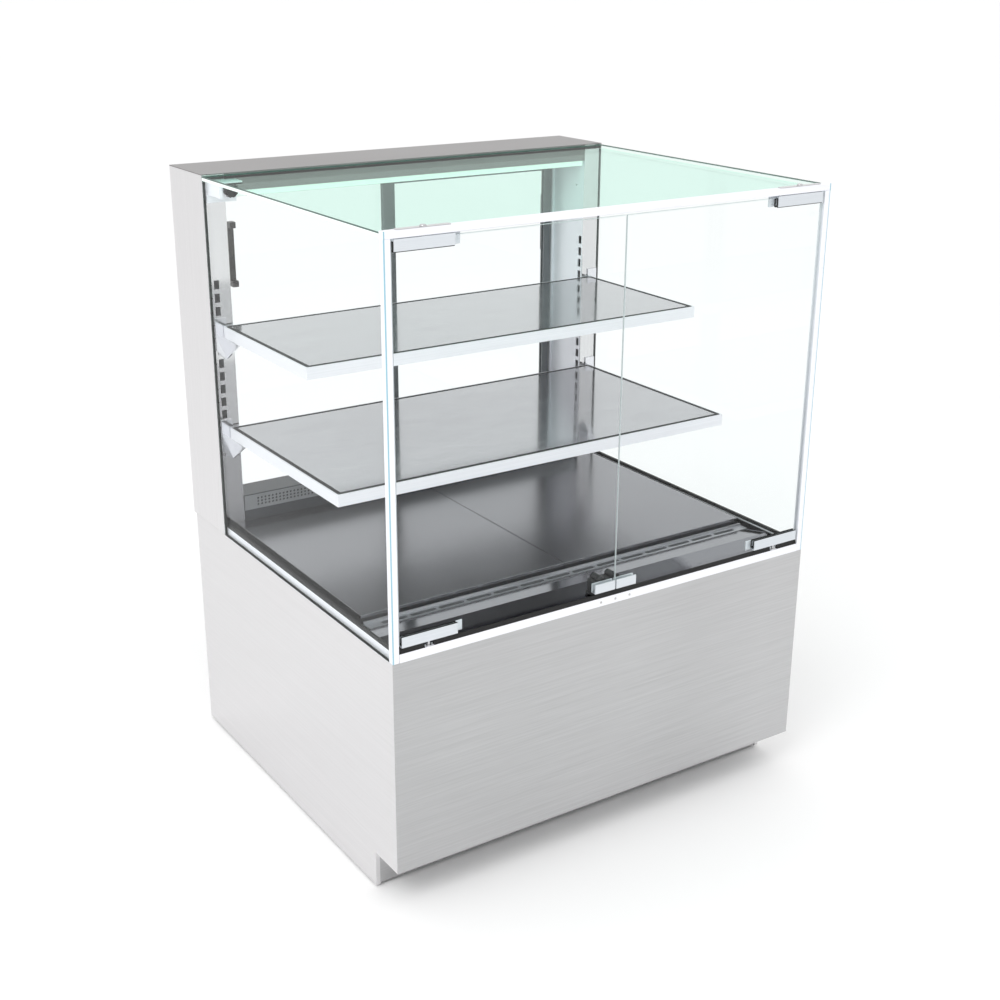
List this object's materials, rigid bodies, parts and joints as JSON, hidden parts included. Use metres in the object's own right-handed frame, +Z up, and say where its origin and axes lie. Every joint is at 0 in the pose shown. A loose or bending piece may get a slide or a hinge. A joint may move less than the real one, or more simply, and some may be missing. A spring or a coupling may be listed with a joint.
{
  "type": "heated food display case",
  "caption": "Floor-standing heated display case: steel base, glass cabinet, heated shelves, pivoting glass front doors, sliding glass rear doors.",
  "frame": {"origin": "on the floor, in the middle of the case's outline", "axes": "+Z up, +X to the right seen from the customers' side, -Y towards the customers"},
  "size_m": [0.914, 0.834, 1.187],
  "materials": {
    "brushed_panel": "brushed stainless steel sheet, light and even",
    "back_panel": "brushed stainless steel sheet",
    "canopy_steel": "brushed stainless steel sheet",
    "column_inner": "fine brushed stainless steel sheet",
    "zinc_steel": "zinc-plated steel",
    "black_plastic": "black moulded nylon",
    "screw_steel": "plated steel",
    "knob_plastic": "black moulded phenolic",
    "rocker_plastic": "black moulded plastic",
    "satin_aluminium": "bright anodised aluminium extrusion",
    "black_gasket": "black glazing rubber",
    "tray_steel": "stainless steel sheet",
    "polished_steel": "bright stainless steel sheet",
    "deck_steel": "satin stainless steel plate",
    "heater_tube": "oxidised steel tube",
    "insulation": "mineral fibre slab",
    "dark_steel": "dark slate coated steel",
    "grille_steel": "perforated steel strip",
    "motor_steel": "black painted steel",
    "blower_plastic": "moulded plastic wheel",
    "opal_lens": "opal extruded plastic",
    "side_glass": "clear float glass with polished edges",
    "top_glass": "clear float glass with a green tint",
    "door_glass": "clear toughened glass",
    "rear_glass": "clear toughened glass",
    "clip_aluminium": "bright anodised aluminium",
    "pivot_steel": "polished stainless steel",
    "shelf_aluminium": "bright anodised aluminium extrusion",
    "black_glass": "black glass ceramic",
    "heater_plate": "stainless steel closing plate and heating mat",
    "bracket_steel": "light grey coated steel",
    "stile_aluminium": "dark anodised aluminium extrusion",
    "pull_plastic": "dark moulded plastic"
  },
  "bodies": {
    "case": {"base_floor_pan": "zinc_steel", "base_frame": "zinc_steel", "blower_housing": "zinc_steel", "blower_motor": "motor_steel", "cable_gland": "black_plastic", "column_covers": "brushed_panel", "column_liners": "column_inner", "control_bezels": "black_plastic", "control_panel": "back_panel", "cover_screws": "screw_steel", "deck_heaters": "heater_tube", "deck_panels": "deck_steel", "deck_tray": "tray_steel", "door_pivots": "pivot_steel", "front_air_grille": "polished_steel", "front_frame": "satin_aluminium", "front_panel": "brushed_panel", "front_ramp": "polished_steel", "glass_clamp": "satin_aluminium", "glass_gaskets": "black_gasket", "glazing_sills": "satin_aluminium", "header_cover": "canopy_steel", "insulation_slab": "insulation", "kick_plate": "brushed_panel", "levelling_feet": "black_plastic", "light_housing": "satin_aluminium", "light_lens": "opal_lens", "lower_door_track": "satin_aluminium", "magnetic_catch": "black_plastic", "rear_riser": "dark_steel", "rear_service_panel": "back_panel", "riser_grille": "grille_steel", "side_glasses": "side_glass", "side_panels": "brushed_panel", "top_glass": "top_glass", "upper_door_track": "satin_aluminium"},
    "left_front_door": {"left_front_door_glass": "door_glass", "left_front_door_clips": "clip_aluminium"},
    "right_front_door": {"right_front_door_glass": "door_glass", "right_front_door_clips": "clip_aluminium"},
    "upper_shelf": {"upper_shelf_frame": "shelf_aluminium", "upper_shelf_glass": "black_glass", "upper_shelf_heater": "heater_plate", "upper_shelf_brackets": "bracket_steel"},
    "lower_shelf": {"lower_shelf_frame": "shelf_aluminium", "lower_shelf_glass": "black_glass", "lower_shelf_heater": "heater_plate", "lower_shelf_brackets": "bracket_steel"},
    "left_rear_door": {"left_rear_door_frame": "stile_aluminium", "left_rear_door_glass": "rear_glass", "left_rear_door_handle": "pull_plastic"},
    "right_rear_door": {"right_rear_door_frame": "stile_aluminium", "right_rear_door_glass": "rear_glass", "right_rear_door_handle": "pull_plastic"},
    "deck_knob": {"deck_knob": "knob_plastic"},
    "lower_shelf_knob": {"lower_shelf_knob": "knob_plastic"},
    "upper_shelf_knob": {"upper_shelf_knob": "knob_plastic"},
    "light_switch": {"light_switch": "rocker_plastic"},
    "power_switch": {"power_switch": "rocker_plastic"},
    "blower_rotor": {"blower_rotor": "blower_plastic"}
  },
  "joints": [
    {"name": "left_front_door_pivot", "type": "hinge", "parent": "case", "child": "left_front_door", "pos_m": [-0.3855, -0.411, 0.8], "axis": [0, 0, -1], "range_deg": [0, 95]},
    {"name": "right_front_door_pivot", "type": "hinge", "parent": "case", "child": "right_front_door", "pos_m": [0.3855, -0.411, 0.8], "axis": [0, 0, 1], "range_deg": [0, 95]},
    {"name": "left_rear_door_slide", "type": "slide", "parent": "case", "child": "left_rear_door", "axis": [1, 0, 0], "range_m": [0, 0.385]},
    {"name": "right_rear_door_slide", "type": "slide", "parent": "case", "child": "right_rear_door", "axis": [-1, 0, 0], "range_m": [0, 0.385]},
    {"name": "upper_shelf_lift", "type": "slide", "parent": "case", "child": "upper_shelf", "axis": [0, 0, 1], "range_m": [0, 0.008]},
    {"name": "lower_shelf_lift", "type": "slide", "parent": "case", "child": "lower_shelf", "axis": [0, 0, 1], "range_m": [0, 0.008]},
    {"name": "deck_knob_turn", "type": "hinge", "parent": "case", "child": "deck_knob", "pos_m": [-0.2, 0.3825, 0.425], "axis": [0, -1, 0], "range_deg": [0, 270]},
    {"name": "lower_shelf_knob_turn", "type": "hinge", "parent": "case", "child": "lower_shelf_knob", "pos_m": [-0.12, 0.3825, 0.425], "axis": [0, -1, 0], "range_deg": [0, 270]},
    {"name": "upper_shelf_knob_turn", "type": "hinge", "parent": "case", "child": "upper_shelf_knob", "pos_m": [-0.04, 0.3825, 0.425], "axis": [0, -1, 0], "range_deg": [0, 270]},
    {"name": "light_switch_rock", "type": "hinge", "parent": "case", "child": "light_switch", "pos_m": [0.19, 0.3863, 0.425], "axis": [-1, 0, 0], "range_deg": [0, 18]},
    {"name": "power_switch_rock", "type": "hinge", "parent": "case", "child": "power_switch", "pos_m": [0.24, 0.3863, 0.425], "axis": [-1, 0, 0], "range_deg": [0, 18]},
    {"name": "blower_spin", "type": "hinge", "parent": "case", "child": "blower_rotor", "pos_m": [0, 0.283, 0.4], "axis": [1, 0, 0], "continuous": true}
  ]
}
